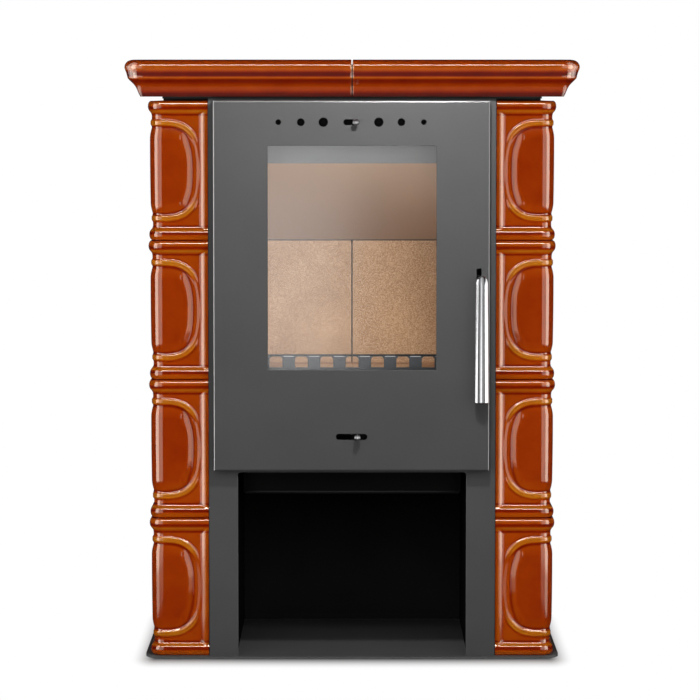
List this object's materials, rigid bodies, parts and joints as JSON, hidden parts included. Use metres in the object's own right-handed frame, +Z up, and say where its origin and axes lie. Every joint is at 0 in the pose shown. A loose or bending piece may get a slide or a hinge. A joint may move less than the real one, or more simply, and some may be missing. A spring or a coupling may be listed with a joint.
{
  "type": "tiled wood stove",
  "caption": "Free-standing wood stove clad in relief-moulded glazed tiles under a cornice, with a glazed steel door, lever latch, air slides, ash pan and log niche.",
  "frame": {"origin": "centre of the base plate's underside, on the floor", "axes": "+X to the right seen from the door, +Y from the door to the back, +Z up"},
  "size_m": [0.716, 0.486, 0.951],
  "materials": {
    "glaze": "gloss, amber glaze over brown clay",
    "grey_paint": "fine satin heat-proof paint",
    "black_paint": "matt heat-proof paint",
    "bare_steel": "bare sheet",
    "heat_steel": "bare sheet blued by heat",
    "polished_steel": "polished",
    "cast_iron": "as cast",
    "lining": "matt, flecked board",
    "seal_fibre": "woven glass fibre",
    "stove_glass": "clear glass ceramic"
  },
  "bodies": {
    "stove": {"air_box": "black_paint", "air_deflector": "heat_steel", "back_board_left": "lining", "back_board_right": "lining", "baffle": "lining", "base_plate": "grey_paint", "corner_tile_front_left_1": "glaze", "corner_tile_front_left_2": "glaze", "corner_tile_front_left_3": "glaze", "corner_tile_front_left_4": "glaze", "corner_tile_front_right_1": "glaze", "corner_tile_front_right_2": "glaze", "corner_tile_front_right_3": "glaze", "corner_tile_front_right_4": "glaze", "corner_tile_rear_left_1": "glaze", "corner_tile_rear_left_2": "glaze", "corner_tile_rear_left_3": "glaze", "corner_tile_rear_left_4": "glaze", "corner_tile_rear_right_1": "glaze", "corner_tile_rear_right_2": "glaze", "corner_tile_rear_right_3": "glaze", "corner_tile_rear_right_4": "glaze", "crown_front_left": "glaze", "crown_front_right": "glaze", "crown_rear_left": "glaze", "crown_rear_right": "glaze", "firebox_shell": "black_paint", "floor_bricks": "lining", "front_frame": "grey_paint", "grate": "cast_iron", "hinge_brackets": "bare_steel", "log_guard": "heat_steel", "niche_liner": "black_paint", "rear_panel": "black_paint", "side_board_left": "lining", "side_board_right": "lining", "side_panel_left": "black_paint", "side_panel_right": "black_paint", "side_tile_left_1": "glaze", "side_tile_left_2": "glaze", "side_tile_left_3": "glaze", "side_tile_left_4": "glaze", "side_tile_right_1": "glaze", "side_tile_right_2": "glaze", "side_tile_right_3": "glaze", "side_tile_right_4": "glaze", "top_plate": "black_paint"},
    "door": {"door_leaf": "grey_paint", "glass_pane": "stove_glass", "glass_tape": "seal_fibre", "glass_clips": "bare_steel", "door_rope": "seal_fibre", "latch_bracket": "bare_steel"},
    "lever": {"handle_bar": "polished_steel", "latch_hook": "bare_steel"},
    "top_air_slide": {"top_slider": "bare_steel"},
    "low_air_slide": {"low_slider": "bare_steel"},
    "ash_drawer": {"ash_pan": "heat_steel"}
  },
  "joints": [
    {"name": "door_hinge", "type": "hinge", "parent": "stove", "child": "door", "pos_m": [-0.214, -0.2145, 0.5945], "axis": [0, 0, -1], "range_deg": [0, 110]},
    {"name": "lever_pivot", "type": "hinge", "parent": "door", "child": "lever", "pos_m": [0.2002, -0.2125, 0.603], "axis": [-1, 0, 0], "range_deg": [0, 45]},
    {"name": "top_air", "type": "slide", "parent": "door", "child": "top_air_slide", "axis": [1, 0, 0], "range_m": [-0.016, 0.002]},
    {"name": "low_air", "type": "slide", "parent": "door", "child": "low_air_slide", "axis": [1, 0, 0], "range_m": [-0.03, 0.012]},
    {"name": "ash_pan_slide", "type": "slide", "parent": "stove", "child": "ash_drawer", "axis": [0, -1, 0], "range_m": [0, 0.2]}
  ],
  "couplings": [
    {"joint": "ash_pan_slide", "follows": "door_hinge", "m_per_rad": 0.104}
  ]
}
